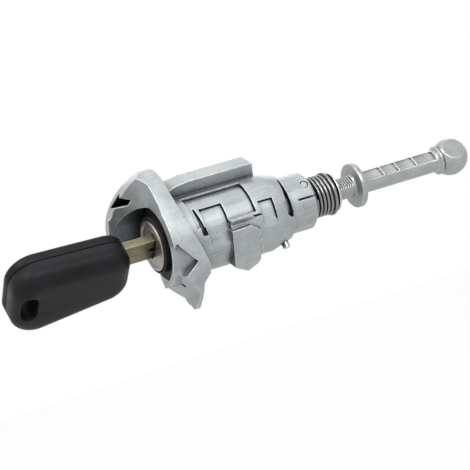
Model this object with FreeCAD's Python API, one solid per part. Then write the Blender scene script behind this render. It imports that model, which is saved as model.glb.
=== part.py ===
import FreeCAD, Part
import math
import os

from FreeCAD import Vector

# Car door lock cylinder with its key in the slot.
# +Y runs along the lock axis into the door, +Z points to the upper ear of the flange.
# The origin is on the axis where the rear spigot leaves the barrel's shoulder.

# Places along the axis are given as distances behind the front face of the plug's cap.
FACE_TO_SHOULDER = 45.0
SPIGOT_LENGTH = 9.8
SPIGOT_RADIUS = 9.2
SPIGOT_CHAMFER = 1.0

# Barrel and bore of the housing
BARREL_RADIUS = 12.4
BARREL_TAPER_START = 38.5
BARREL_REAR_RADIUS = 10.6
PLUG_RADIUS = 7.0
RUNNING_GAP = 0.08
SEAT_GAP = 0.05
LOOSE_GAP = 0.3

# Front recess, hood and flange
MOUTH_RADIUS = 12.2
MOUTH_FLOOR = 2.4
HOOD_WALL = 1.7
HOOD_REACH = 8.2
HOOD_LEAN = 57.0
HOOD_START = 2.5
FRONT_SET_BACK = 1.2
EAR_REACH = 23.2
FLANGE_HALF_WIDTH = 15.5
LOWER_EAR_SWEEP = 30.0
FLANGE_BACK_TOP = 6.4
FLANGE_BACK_MIDDLE = 8.6
FLANGE_BACK_SHOULDER = 11.8
LOWER_EAR_BACK = 9.6

# Guide rib on the barrel
RIB_LEAN = 25.0
RIB_WIDTH = 7.2
RIB_NEAR_SIDE = -2.7
RIB_TOP = 16.3
RIB_START = 7.0
RIB_END = 37.6

# Sunk panels on the side of the barrel, as spans along and round it
PANEL_DEPTH = 0.9
WINDOW_DEPTH = 1.7
PANEL_SPAN = (11.4, 32.8)
PANEL_ARC = (27.0, 86.0)
WINDOW_SPAN = (14.6, 23.2)
WINDOW_ARC = (57.0, 118.0)
WEDGE_SPAN = (13.0, 14.3)
WEDGE_ARC = (52.0, 99.0)
REAR_PANEL_SPAN = (34.6, 39.6)
REAR_PANEL_ARC = (74.0, 117.0)

# Faceted lug under the panels
LUG_LEAN = 118.0
LUG_FACE = 13.4
LIP_LEAN = 97.0
LIP_RADIUS = 13.4
LIP_BEVEL = 38.0

# Clip slot behind the panels
CLIP_SLOT_SPAN = (43.4, 44.7)
CLIP_SLOT_ARC = (38.0, 112.0)
CLIP_THICKNESS = 1.0
CLIP_OUTER_RADIUS = 9.0
CLIP_GROOVE_RADIUS = 5.8

# Plug cap and face seal
CAP_RADIUS = 8.5
CAP_SHEET = 0.6
CAP_DEPTH = 3.2
CAP_RIM = 0.35
SEAL_OUTER_RADIUS = 12.1
SEAL_THICKNESS = 1.9

# Key
KEY_LEAN = 56.0
BLADE_WIDTH = 8.8
BLADE_THICKNESS = 2.7
BLADE_INSERTED = 30.5
BLADE_GROOVE_WIDTH = 2.4
BLADE_GROOVE_DEPTH = 0.7
BLADE_ROOT = 19.0
BLADE_TIP_BEVEL = 2.6
SLOT_GAP = 0.2
HEAD_GAP = 7.5
HEAD_LENGTH = 42.5
HEAD_RING_WIDTH = 28.0
HEAD_BLADE_WIDTH = 20.0
HEAD_RING_CORNER = 9.0
HEAD_BLADE_CORNER = 8.0
HEAD_FRONT_THICKNESS = 5.7
HEAD_BACK_THICKNESS = 3.3
HEAD_SEAM_GAP = 0.02
HEAD_FRONT_EDGE = 2.4
HEAD_BACK_EDGE = 1.3
RING_HOLE_INSET = 8.3
RING_HOLE_OFFSET = -7.6
RING_HOLE_WIDTH = 9.9
RING_HOLE_LENGTH = 5.8
CHIP_LENGTH = 12.0
CHIP_WIDTH = 6.0
CHIP_THICKNESS = 3.0

# Wafers: one cut depth for each, from the front
WAFER_CUTS = (0.9, 0.3, 1.2, 0.6, 0.0, 0.9, 0.3, 0.6)
WAFER_FIRST = 8.0
WAFER_PITCH = 2.7
WAFER_THICKNESS = 1.0
WAFER_WIDTH = 6.6
WAFER_WALL = 1.7
WAFER_TRAVEL = 1.6
COIL_RADIUS = 0.55
COIL_LENGTH = 2.4

# Dust shutter behind the cap
SHUTTER_THICKNESS = 0.6
SHUTTER_LENGTH = 5.0
SHUTTER_PIN_RADIUS = 0.5

# Drive end
PLUG_LENGTH = 39.0
HUB_LENGTH_INSIDE = 13.2
HUB_BOSS_RADIUS = 5.2
HUB_TENON = 2.6
ROD_RADIUS = 3.5
ROD_SOCKET = 14.0
DRIVE_PIN_RADIUS = 1.0
COLLAR_FRONT = 72.0
COLLAR_THICKNESS = 1.9
COLLAR_RADIUS = 7.3
BALL_CENTRE = 109.4
BALL_RADIUS = 6.1
ROD_FLAT_LEAN = 45.0
CHANNEL_WIDTH = 4.4
CHANNEL_LEVEL = 2.2
CHANNEL_RIBS = (86.6, 93.1, 100.6)
CHANNEL_RIB_THICKNESS = 0.7
SERRATION_SPAN = (65.0, 70.0)
SERRATION_COUNT = 6

# Return spring
SPRING_START = 55.1
SPRING_TURNS = 6.0
SPRING_WIRE = 0.55
SPRING_WIRE_SIDES = 6
SPRING_PITCH = 1.25
SPRING_RADIUS = 6.2
WASHER_THICKNESS = 0.6
WASHER_RADIUS = 6.4

# Small pins
NECK_PIN_RADIUS = 1.1
NECK_PIN_PLACE = 52.3
NECK_PIN_LEAN = 58.0
STOP_PIN_RADIUS = 1.2
STOP_PIN_PLACE = 42.2
STOP_PIN_LEAN = 165.0

AXIS = Vector(0, 1, 0)
HERE = Vector(0, 0, 0)


def behind(distance):
    """The Y of a place at this distance behind the cap's front face."""
    return distance - FACE_TO_SHOULDER


def rod_along(radius, start, end):
    """A cylinder on the lock axis between two distances behind the face."""
    return Part.makeCylinder(radius, end - start, Vector(0, behind(start), 0), AXIS)


def tube_along(outer, inner, start, end):
    """A tube on the lock axis."""
    return rod_along(outer, start, end).cut(rod_along(inner, start - 1, end + 1))


def block(x_span, y_span, z_span):
    """A box between two limits on each axis, with Y as distances behind the face."""
    low = Vector(x_span[0], behind(y_span[0]), z_span[0])
    return Part.makeBox(x_span[1] - x_span[0], y_span[1] - y_span[0], z_span[1] - z_span[0], low)


def leaned(shape, degrees):
    """The shape turned about the lock axis, from +Z towards +X."""
    turned = shape.copy()
    turned.rotate(HERE, AXIS, degrees)
    return turned


def round_point(radius, degrees):
    """A point of a circle in the X-Y plane, from its own centre."""
    angle = math.radians(degrees)
    return Vector(radius * math.cos(angle), radius * math.sin(angle), 0)


def polygon_face(points):
    """A flat face from its corners."""
    return Part.Face(Part.makePolygon(points + [points[0]]))


def side_prism(outline, half_width):
    """A prism across X from an outline of (distance behind face, z)."""
    points = [Vector(-half_width, behind(y), z) for y, z in outline]
    return polygon_face(points).extrude(Vector(2 * half_width, 0, 0))


def cross_prism(outline, start, end):
    """A prism along Y from an outline of (x, z)."""
    points = [Vector(x, behind(start), z) for x, z in outline]
    return polygon_face(points).extrude(Vector(0, end - start, 0))


def sector(outer, inner, y_span, arc):
    """Part of a tube between two angles, counted from +Z towards +X."""
    ring = Part.Face(Part.makePolygon([
        Vector(0, behind(y_span[0]), inner),
        Vector(0, behind(y_span[0]), outer),
        Vector(0, behind(y_span[1]), outer),
        Vector(0, behind(y_span[1]), inner),
        Vector(0, behind(y_span[0]), inner),
    ]))
    return leaned(ring.revolve(HERE, AXIS, arc[1] - arc[0]), arc[0])


def rounded_outline(corners, radii):
    """A closed wire through corners, each rounded by an arc of its own radius."""
    count = len(corners)
    edges = []
    starts = []
    ends = []
    for i, corner in enumerate(corners):
        before = (corners[i - 1] - corner).normalize()
        after = (corners[(i + 1) % count] - corner).normalize()
        half = before.getAngle(after) / 2
        reach = radii[i] / math.tan(half)
        middle = (before + after).normalize()
        centre = corner + middle * (radii[i] / math.sin(half))
        first = corner + before * reach
        last = corner + after * reach
        starts.append(first)
        ends.append(last)
        edges.append(Part.Arc(first, centre - middle * radii[i], last).toShape())
    for i in range(count):
        edges.append(Part.LineSegment(ends[i], starts[(i + 1) % count]).toShape())
    return Part.Wire(Part.__sortEdges__(edges))


def flange_plate():
    """The leaf-shaped flange: a broad upper ear and a slim lower one."""
    reach = EAR_REACH
    wide = FLANGE_HALF_WIDTH
    side = [(4.0, reach - 0.8), (8.2, 19.2), (10.9, 14.8), (13.5, 7.8), (wide, 0.0), (wide - 0.4, -6.5)]
    ear = [(wide - 4.2, -11.6), (6.2, -14.9), (3.6, -18.8), (1.7, -reach + 1.0)]
    right = [Vector(x, 0, z) for x, z in side + ear]
    left = [Vector(-p.x, 0, p.z) for p in reversed(right)]
    flank = Part.BSplineCurve()
    flank.interpolate(right)
    other = Part.BSplineCurve()
    other.interpolate(left)
    top = Part.Arc(left[-1], Vector(0, 0, reach), right[0])
    bottom = Part.Arc(right[-1], Vector(0, 0, -reach), left[0])
    leaf = Part.Face(Part.Wire([flank.toShape(), bottom.toShape(), other.toShape(), top.toShape()]))
    leaf.translate(Vector(0, behind(-HOOD_REACH), 0))
    plate = leaf.extrude(Vector(0, HOOD_REACH + FLANGE_BACK_SHOULDER + 2, 0))
    return plate.common(flange_side())


def flange_side():
    """The flange seen from the side: it curves back to each ear."""
    reach = EAR_REACH + 0.5
    low_break = 8.5
    sweep = math.tan(math.radians(LOWER_EAR_SWEEP))
    brow = Part.BSplineCurve()
    brow_line = [(-HOOD_REACH, 5.0), (-HOOD_REACH + 0.6, 11.0), (-6.0, 15.0), (-2.6, 19.6), (4.6, reach)]
    brow.interpolate([Vector(0, behind(y), z) for y, z in brow_line])
    rest = [
        (4.6, reach),
        (FLANGE_BACK_TOP, reach),
        (FLANGE_BACK_TOP, 13.0),
        (FLANGE_BACK_MIDDLE, 0.0),
        (FLANGE_BACK_SHOULDER, -10.0),
        (FLANGE_BACK_SHOULDER, -13.0),
        (LOWER_EAR_BACK, -15.6),
        (FRONT_SET_BACK + (reach - low_break) * sweep + 0.8, -reach),
        (FRONT_SET_BACK + (reach - low_break) * sweep, -reach),
        (FRONT_SET_BACK, -low_break),
        (-HOOD_REACH, -low_break),
        (-HOOD_REACH, 5.0),
    ]
    straight = Part.makePolygon([Vector(0, behind(y), z) for y, z in rest])
    face = Part.Face(Part.Wire([brow.toShape()] + straight.Edges))
    half = FLANGE_HALF_WIDTH + 2
    face.translate(Vector(-half, 0, 0))
    return face.extrude(Vector(2 * half, 0, 0))


def hood_cutter():
    """What is taken off in front of the flange, all but the lobe that guards the key."""
    far = 40.0
    outline = [
        (-HOOD_REACH - 1, -far),
        (FRONT_SET_BACK, -far),
        (FRONT_SET_BACK, HOOD_START),
        (-0.6, 6.4),
        (-3.6, 9.8),
        (-HOOD_REACH + 0.6, 12.4),
        (-HOOD_REACH - 1, 13.2),
    ]
    return leaned(side_prism(outline, far), -HOOD_LEAN)


def guide_rib():
    """The rib that runs back from the flange along the barrel."""
    far_side = RIB_NEAR_SIDE - RIB_WIDTH
    outline = [
        (RIB_START, 4.0),
        (RIB_START, RIB_TOP - 2.6),
        (RIB_START + 4, RIB_TOP - 0.7),
        (RIB_START + 9, RIB_TOP),
        (RIB_END, RIB_TOP),
        (RIB_END, 4.0),
    ]
    points = [Vector(far_side, behind(y), z) for y, z in outline]
    rib = polygon_face(points).extrude(Vector(RIB_WIDTH, 0, 0))
    return leaned(rib, RIB_LEAN)


def barrel_lug():
    """The faceted lug under the panels: its outline lies in the plane of its outer face."""
    outline = [(21.8, 3.6), (28.4, 3.9), (32.0, 1.2), (30.9, -0.6), (32.8, -2.6), (33.6, -7.4)]
    bottom = [(31.0, -10.4), (26.0, -11.4), (21.8, -8.8)]
    inner = BARREL_RADIUS * 0.6
    points = [Vector(-z, behind(y), inner) for y, z in outline + bottom]
    lug = polygon_face(points).extrude(Vector(0, 0, LUG_FACE - inner))
    return leaned(lug, LUG_LEAN)


def lug_lip():
    """The half-hexagon lip above the lug, bevelled so that it overhangs."""
    outline = [(22.4, 1.9), (28.8, 2.3), (32.8, -0.6), (31.4, -2.4), (28.2, -0.5), (22.6, -0.9)]
    inner = BARREL_RADIUS * 0.6
    points = [Vector(-z, behind(y), inner) for y, z in outline]
    lip = polygon_face(points).extrude(Vector(0, 0, LIP_RADIUS - inner))
    bevel = Part.makeBox(40, 80, 20, Vector(0, behind(-10), 0))
    bevel.rotate(HERE, AXIS, LIP_BEVEL)
    bevel.translate(Vector(-1.6, 0, LIP_RADIUS))
    return leaned(lip.cut(bevel), LIP_LEAN)


def housing_body():
    """Barrel, spigot, flange, hood, rib and lug before anything is cut."""
    barrel = rod_along(BARREL_RADIUS, 4.0, BARREL_TAPER_START)
    taper = FACE_TO_SHOULDER - BARREL_TAPER_START
    place = Vector(0, behind(BARREL_TAPER_START), 0)
    barrel = barrel.fuse(Part.makeCone(BARREL_RADIUS, BARREL_REAR_RADIUS, taper, place, AXIS))
    barrel = barrel.fuse(rod_along(MOUTH_RADIUS + HOOD_WALL, -HOOD_REACH, 8.0))
    spigot_end = FACE_TO_SHOULDER + SPIGOT_LENGTH
    spigot_straight = spigot_end - SPIGOT_CHAMFER
    barrel = barrel.fuse(rod_along(SPIGOT_RADIUS, FACE_TO_SHOULDER - 1, spigot_straight))
    rear = Vector(0, behind(spigot_straight), 0)
    nose = Part.makeCone(SPIGOT_RADIUS, SPIGOT_RADIUS - SPIGOT_CHAMFER, SPIGOT_CHAMFER, rear, AXIS)
    return barrel.fuse([nose, flange_plate(), guide_rib()])


def side_panels():
    """The sunk panels, the window and the narrow wedge on the barrel's side."""
    outer = BARREL_RADIUS + 1.5
    cuts = [
        sector(outer, BARREL_RADIUS - PANEL_DEPTH, PANEL_SPAN, PANEL_ARC),
        sector(outer, BARREL_RADIUS - WINDOW_DEPTH, WINDOW_SPAN, WINDOW_ARC),
        sector(outer, BARREL_RADIUS - WINDOW_DEPTH, WEDGE_SPAN, WEDGE_ARC),
        sector(outer, BARREL_RADIUS - PANEL_DEPTH, REAR_PANEL_SPAN, REAR_PANEL_ARC),
    ]
    return cuts


def bores():
    """The mouth, the seats of cap and plug, and the hub's bore."""
    plug_bore = PLUG_RADIUS + RUNNING_GAP
    spigot_end = FACE_TO_SHOULDER + SPIGOT_LENGTH
    cap_seat = CAP_RADIUS + RUNNING_GAP
    return [
        rod_along(MOUTH_RADIUS, -HOOD_REACH - 2, MOUTH_FLOOR),
        rod_along(cap_seat, 0, CAP_DEPTH + LOOSE_GAP),
        rod_along(plug_bore, 0, spigot_end + 1),
    ]


def wafer_channels():
    """The two channels in the bore that the wafers lock into."""
    wide = WAFER_WIDTH + 2 * SLOT_GAP
    reach = PLUG_RADIUS + WAFER_TRAVEL + SLOT_GAP
    span = (WAFER_FIRST - 1.2, WAFER_FIRST + 7 * WAFER_PITCH + WAFER_THICKNESS + 1.2)
    return leaned(block((-wide / 2, wide / 2), span, (-reach, reach)), KEY_LEAN)


def clip_seat():
    """The slot that the retaining clip is pushed in through."""
    slot = sector(BARREL_RADIUS + 2, PLUG_RADIUS - 1, CLIP_SLOT_SPAN, CLIP_SLOT_ARC)
    groove = tube_along(CLIP_OUTER_RADIUS + SLOT_GAP, PLUG_RADIUS - 1, *CLIP_SLOT_SPAN)
    return [slot, groove]


def flange_pockets():
    """The pocket beside the upper ear and the recess beside the lower one."""
    upper = cross_prism([(-10.0, 12.0), (-4.2, 14.0), (-6.6, 18.0)], -12, -1.0)
    recess = cross_prism([(13.0, 1.0), (14.2, -7.0), (9.4, -11.6), (11.6, -6.4)], -12, 4.4)
    lower = cross_prism([(-2.6, -14.4), (1.6, -14.6), (0.0, -18.4)], -2, 6.4)
    return [upper, recess, lower]


def neck_slot():
    """The slot in the spigot's wall that holds the spring's front leg."""
    wide = 2 * SPRING_WIRE + SLOT_GAP
    end = FACE_TO_SHOULDER + SPIGOT_LENGTH
    return leaned(block((-wide / 2, wide / 2), (end - 4.6, end + 1), (PLUG_RADIUS - 1, 12)), 89.0)


def pin_hole(radius, place, lean, depth):
    """A radial hole into the housing from outside, down to a depth from the axis."""
    hole = Part.makeCylinder(radius, 20, Vector(0, behind(place), depth), Vector(0, 0, 1))
    return leaned(hole, lean)


def make_housing():
    """One die casting."""
    shape = housing_body()
    shape = shape.cut(hood_cutter())
    shape = shape.cut(side_panels())
    shape = shape.fuse([barrel_lug(), lug_lip()])
    shape = shape.cut(bores() + clip_seat() + flange_pockets())
    shape = shape.cut([
        wafer_channels(),
        neck_slot(),
        pin_hole(NECK_PIN_RADIUS + SEAT_GAP, NECK_PIN_PLACE, NECK_PIN_LEAN, PLUG_RADIUS),
        pin_hole(STOP_PIN_RADIUS + SEAT_GAP, STOP_PIN_PLACE, STOP_PIN_LEAN, PLUG_RADIUS),
    ])
    return shape.removeSplitter()


def make_face_seal():
    """The rubber ring that fills the mouth round the cap."""
    start = MOUTH_FLOOR - SEAL_THICKNESS
    return tube_along(SEAL_OUTER_RADIUS, CAP_RADIUS + LOOSE_GAP, start, MOUTH_FLOOR)


def key_slot(gap, start, end):
    """A straight slot that the blade passes through with a gap all round."""
    half_thick = BLADE_THICKNESS / 2 + gap
    half_wide = BLADE_WIDTH / 2 + gap
    return block((-half_thick, half_thick), (start, end), (-half_wide, half_wide))


def make_plug_cap():
    """The pressed steel cap with a raised rim."""
    cup = rod_along(CAP_RADIUS, 0, CAP_DEPTH)
    cup = cup.cut(rod_along(CAP_RADIUS - CAP_SHEET, CAP_RIM + CAP_SHEET, CAP_DEPTH + 1))
    dish = rod_along(CAP_RADIUS - 2 * CAP_SHEET, -1, CAP_RIM)
    return leaned(cup.cut([dish, key_slot(2 * SLOT_GAP, -1, CAP_DEPTH)]), KEY_LEAN)


def wafer_place(index):
    """The distance behind the face where a wafer starts."""
    return WAFER_FIRST + index * WAFER_PITCH


def wafer_slot(index):
    """The plug's cross slot for one wafer, open at both ends."""
    place = wafer_place(index)
    half = WAFER_WIDTH / 2 + SEAT_GAP
    span = (place - SEAT_GAP, place + WAFER_THICKNESS + SEAT_GAP)
    return block((-half, half), span, (-PLUG_RADIUS - 1, PLUG_RADIUS + 1))


def coil_centre(index):
    """The centre of a wafer's coil, beside the wafer."""
    across = WAFER_WIDTH / 2 + COIL_RADIUS + 2 * SEAT_GAP
    return across, wafer_place(index) + WAFER_THICKNESS / 2


def coil_pocket(index):
    """The square pocket in the plug for one coil."""
    x, y = coil_centre(index)
    reach = COIL_RADIUS + SEAT_GAP
    half = COIL_LENGTH / 2 + SEAT_GAP
    return block((x - reach, x + reach), (y - reach, y + reach), (-half, half))


def make_plug():
    """The turning core, with the key slot, a cross slot for each wafer and the tail's mortise."""
    head_start = CAP_RIM + CAP_SHEET + SEAT_GAP
    plug = rod_along(PLUG_RADIUS, head_start, PLUG_LENGTH)
    plug = plug.fuse(rod_along(CAP_RADIUS - CAP_SHEET - SEAT_GAP, head_start, CAP_DEPTH))
    cuts = [key_slot(SLOT_GAP, -1, BLADE_INSERTED + 0.6)]
    for index in range(len(WAFER_CUTS)):
        cuts.append(wafer_slot(index))
        cuts.append(coil_pocket(index))
    cuts.append(shutter_pocket())
    cuts.append(tenon(SEAT_GAP))
    return leaned(plug.cut(cuts), KEY_LEAN)


def tenon(gap):
    """The hub's cross tenon, which sits in the plug's rear end."""
    half = 2.0 + gap
    return block((-half, half), (PLUG_LENGTH - HUB_TENON - gap, PLUG_LENGTH + 1), (-8, 8))


def shutter_pocket():
    """The room beside the slot that the shutter folds into."""
    half_thick = BLADE_THICKNESS / 2
    wide = BLADE_WIDTH / 2 + SLOT_GAP
    deep = half_thick + SHUTTER_THICKNESS + 2 * SHUTTER_PIN_RADIUS + 2 * SLOT_GAP
    span = (0, CAP_RIM + CAP_SHEET + SHUTTER_LENGTH + 1)
    return block((half_thick, deep), span, (-wide, wide))


def make_dust_shutter():
    """The flap that closes the slot, folded back beside the blade, with its rolled hinge."""
    start = CAP_RIM + CAP_SHEET + LOOSE_GAP
    near = BLADE_THICKNESS / 2 + SLOT_GAP
    half = BLADE_WIDTH / 2 - SLOT_GAP
    flap = block((near, near + SHUTTER_THICKNESS), (start, start + SHUTTER_LENGTH), (-half, half))
    return leaned(flap, KEY_LEAN)


def make_shutter_pin():
    """The pin that the shutter turns on."""
    x = BLADE_THICKNESS / 2 + SLOT_GAP + SHUTTER_THICKNESS + SHUTTER_PIN_RADIUS + SEAT_GAP
    y = behind(CAP_RIM + CAP_SHEET + LOOSE_GAP + SHUTTER_PIN_RADIUS)
    half = BLADE_WIDTH / 2
    pin = Part.makeCylinder(SHUTTER_PIN_RADIUS, 2 * half, Vector(x, y, -half), Vector(0, 0, 1))
    return leaned(pin, KEY_LEAN)


def make_wafer(index):
    """A flat wafer whose window lets the whole blade through."""
    place = wafer_place(index)
    half = WAFER_WIDTH / 2
    plate = rod_along(PLUG_RADIUS - SEAT_GAP, place, place + WAFER_THICKNESS)
    plate = plate.common(block((-half, half), (place - 1, place + 2), (-PLUG_RADIUS, PLUG_RADIUS)))
    reach = BLADE_WIDTH / 2 + SLOT_GAP
    window = half - WAFER_WALL
    return leaned(plate.cut(block((-window, window), (place - 1, place + 2), (-reach, reach))), KEY_LEAN)


def make_wafer_springs():
    """One close-wound coil beside each wafer, as its six-sided outer form."""
    coils = []
    for index in range(len(WAFER_CUTS)):
        x, y = coil_centre(index)
        centre = Vector(x, behind(y), -COIL_LENGTH / 2)
        corners = [centre + round_point(COIL_RADIUS, 60.0 * i) for i in range(6)]
        coil = polygon_face(corners).extrude(Vector(0, 0, COIL_LENGTH))
        coils.append(leaned(coil, KEY_LEAN))
    return Part.makeCompound(coils)


def make_drive_hub():
    """The tail piece: a tenon into the plug, a clip groove and a boss for the spring."""
    end = PLUG_LENGTH + HUB_LENGTH_INSIDE
    boss_end = SPRING_START + (SPRING_TURNS + 1) * SPRING_PITCH
    hub = rod_along(PLUG_RADIUS, PLUG_LENGTH + SEAT_GAP, end)
    hub = hub.fuse(rod_along(HUB_BOSS_RADIUS, end - 1, boss_end))
    tongue = tenon(0).common(rod_along(PLUG_RADIUS, PLUG_LENGTH - HUB_TENON, PLUG_LENGTH + 1))
    hub = hub.fuse(tongue)
    socket = boss_end - ROD_SOCKET - SEAT_GAP
    hub = hub.cut([
        tube_along(PLUG_RADIUS + 1, CLIP_GROOVE_RADIUS, *CLIP_SLOT_SPAN),
        rod_along(ROD_RADIUS + SEAT_GAP, socket, boss_end + 1),
        drive_pin_bar(DRIVE_PIN_RADIUS + SEAT_GAP),
    ])
    return leaned(hub, KEY_LEAN)


def drive_pin_bar(radius):
    """The cross pin's place through hub and rod."""
    y = behind(PLUG_LENGTH + HUB_LENGTH_INSIDE - 2.6)
    half = PLUG_RADIUS - 2 * RUNNING_GAP
    return Part.makeCylinder(radius, 2 * half, Vector(-half, y, 0), Vector(1, 0, 0))


def make_drive_pin():
    """The pin that ties the rod to the hub."""
    return leaned(drive_pin_bar(DRIVE_PIN_RADIUS), KEY_LEAN)


def rod_channel():
    """The shallow channel along the rod's top, crossed by three ribs."""
    start = COLLAR_FRONT + COLLAR_THICKNESS + 2.2
    end = BALL_CENTRE - BALL_RADIUS - 0.6
    half = CHANNEL_WIDTH / 2
    channel = block((-half, half), (start, end), (CHANNEL_LEVEL, ROD_RADIUS + 1))
    thick = CHANNEL_RIB_THICKNESS / 2
    ribs = [block((-half, half), (y - thick, y + thick), (0, ROD_RADIUS - 0.5)) for y in CHANNEL_RIBS]
    return channel.cut(ribs)


def rod_serrations():
    """Fine cross cuts on the flat between the spring and the collar."""
    start, end = SERRATION_SPAN
    step = (end - start) / SERRATION_COUNT
    flat = block((-ROD_RADIUS, ROD_RADIUS), (SPRING_START + 9, COLLAR_FRONT - 0.8), (2.7, 5))
    cuts = [flat]
    for i in range(SERRATION_COUNT):
        y = start + i * step
        cuts.append(block((-ROD_RADIUS, ROD_RADIUS), (y, y + step / 2), (2.4, 5)))
    return cuts


def make_drive_rod():
    """The cast rod with its collar and ball end."""
    boss_end = SPRING_START + (SPRING_TURNS + 1) * SPRING_PITCH
    rod = rod_along(ROD_RADIUS, boss_end - ROD_SOCKET, BALL_CENTRE)
    rod = rod.cut([rod_channel()] + rod_serrations())
    collar_end = COLLAR_FRONT + COLLAR_THICKNESS
    rod = rod.fuse(rod_along(COLLAR_RADIUS, COLLAR_FRONT, collar_end))
    cone = Part.makeCone(ROD_RADIUS + 1.2, ROD_RADIUS, 1.6, Vector(0, behind(collar_end), 0), AXIS)
    rod = rod.fuse(cone)
    ball = Part.makeSphere(BALL_RADIUS, Vector(0, behind(BALL_CENTRE), 0))
    ball = ball.cut(block((-9, 9), (BALL_CENTRE - 9, BALL_CENTRE + 9), (BALL_RADIUS - 1.3, 9)))
    rod = rod.fuse(ball)
    rod = rod.cut(leaned(drive_pin_bar(DRIVE_PIN_RADIUS + SEAT_GAP), KEY_LEAN - ROD_FLAT_LEAN))
    return leaned(rod, ROD_FLAT_LEAN)


def make_return_spring():
    """The wound return spring, with its front leg turned out into the spigot's slot."""
    height = SPRING_TURNS * SPRING_PITCH
    helix = Part.makeHelix(SPRING_PITCH, height, SPRING_RADIUS)
    corners = [round_point(SPRING_WIRE, 360.0 * i / SPRING_WIRE_SIDES) for i in range(SPRING_WIRE_SIDES)]
    section = [Vector(SPRING_RADIUS + p.x, 0, p.y) for p in corners]
    wire = Part.makePolygon(section + [section[0]])
    coil = Part.Wire(helix).makePipeShell([wire], True, True)
    coil.rotate(HERE, Vector(1, 0, 0), -90)
    coil.translate(Vector(0, behind(SPRING_START + SPRING_WIRE), 0))
    return coil


def make_spring_washer():
    """The washer that keeps the spring on its boss."""
    start = SPRING_START + (SPRING_TURNS + 1) * SPRING_PITCH + SEAT_GAP
    return tube_along(WASHER_RADIUS, ROD_RADIUS + SEAT_GAP, start, start + WASHER_THICKNESS)


def make_retaining_clip():
    """The open clip that holds the hub in the barrel."""
    start = CLIP_SLOT_SPAN[0] + (CLIP_SLOT_SPAN[1] - CLIP_SLOT_SPAN[0] - CLIP_THICKNESS) / 2
    ring = tube_along(CLIP_OUTER_RADIUS, CLIP_GROOVE_RADIUS + RUNNING_GAP, start, start + CLIP_THICKNESS)
    half = CLIP_GROOVE_RADIUS * 0.8
    mouth = leaned(block((-half, half), (start - 1, start + 3), (-20, 0)), 75.0)
    return ring.cut(mouth)


def radial_pin(radius, place, lean, inner, outer):
    """A pin that stands in the housing's wall, square to the axis."""
    pin = Part.makeCylinder(radius, outer - inner, Vector(0, behind(place), inner), Vector(0, 0, 1))
    return leaned(pin, lean)


def make_neck_pin():
    """The round pin whose head shows on the spigot."""
    inner = PLUG_RADIUS + 2 * RUNNING_GAP
    return radial_pin(NECK_PIN_RADIUS, NECK_PIN_PLACE, NECK_PIN_LEAN, inner, SPIGOT_RADIUS - 0.2)


def make_stop_pin():
    """The pin that stands out under the barrel near its rear."""
    inner = PLUG_RADIUS + 2 * RUNNING_GAP
    return radial_pin(STOP_PIN_RADIUS, STOP_PIN_PLACE, STOP_PIN_LEAN, inner, BARREL_RADIUS + 0.8)


def blade_cuts():
    """The notches in the blade's upper edge, one under each wafer."""
    cuts = []
    for index, depth in enumerate(WAFER_CUTS):
        if depth > 0:
            place = wafer_place(index)
            top = BLADE_WIDTH / 2
            floor = (place - 0.3, place + WAFER_THICKNESS + 0.3)
            outline = [
                (floor[0] - depth * 0.6, top + 0.01),
                (floor[0], top - depth),
                (floor[1], top - depth),
                (floor[1] + depth * 0.6, top + 0.01),
            ]
            cuts.append(side_prism(outline, BLADE_THICKNESS))
    return cuts


def make_key_blade():
    """The cut blade with a milled groove on each side and its root in the head."""
    half = BLADE_WIDTH / 2
    outline = [
        (-HEAD_GAP - BLADE_ROOT, -half),
        (BLADE_INSERTED - BLADE_TIP_BEVEL, -half),
        (BLADE_INSERTED, -half + BLADE_TIP_BEVEL),
        (BLADE_INSERTED, half - BLADE_TIP_BEVEL),
        (BLADE_INSERTED - BLADE_TIP_BEVEL, half),
        (-HEAD_GAP - BLADE_ROOT, half),
    ]
    blade = side_prism(outline, BLADE_THICKNESS / 2)
    deep = BLADE_THICKNESS / 2 - BLADE_GROOVE_DEPTH
    groove_half = BLADE_GROOVE_WIDTH / 2
    span = (-1.5, BLADE_INSERTED + 1)
    near = block((deep, deep + 2), span, (-groove_half, groove_half))
    far = block((-deep - 2, -deep), span, (-groove_half, groove_half))
    return leaned(blade.cut([near, far] + blade_cuts()), KEY_LEAN)


def head_outline():
    """The key head's rounded, tapered outline in the plane of the blade."""
    ring_y = behind(-HEAD_GAP - HEAD_LENGTH)
    blade_y = behind(-HEAD_GAP)
    corners = [
        Vector(0, ring_y, -HEAD_RING_WIDTH / 2),
        Vector(0, blade_y, -HEAD_BLADE_WIDTH / 2),
        Vector(0, blade_y, HEAD_BLADE_WIDTH / 2),
        Vector(0, ring_y, HEAD_RING_WIDTH / 2),
    ]
    radii = [HEAD_RING_CORNER, HEAD_BLADE_CORNER, HEAD_BLADE_CORNER, HEAD_RING_CORNER]
    return rounded_outline(corners, radii)


def ring_hole():
    """The oval hole for a key ring, through both shells."""
    y = behind(-HEAD_GAP - HEAD_LENGTH + RING_HOLE_INSET)
    z = RING_HOLE_OFFSET
    radius = RING_HOLE_LENGTH / 2
    straight = (RING_HOLE_WIDTH - RING_HOLE_LENGTH) / 2
    shape = Part.makeCylinder(radius, 20, Vector(-10, y, z - straight), Vector(1, 0, 0))
    shape = shape.fuse(Part.makeCylinder(radius, 20, Vector(-10, y, z + straight), Vector(1, 0, 0)))
    bar = Part.makeBox(20, 2 * radius, 2 * straight, Vector(-10, y - radius, z - straight))
    return shape.fuse(bar).removeSplitter()


def blade_root_room():
    """The room that the two shells leave for the blade's root."""
    half_thick = BLADE_THICKNESS / 2 + SEAT_GAP
    half_wide = BLADE_WIDTH / 2 + SEAT_GAP
    span = (-HEAD_GAP - BLADE_ROOT - SEAT_GAP, -HEAD_GAP + 1)
    return block((-half_thick, half_thick), span, (-half_wide, half_wide))


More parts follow.
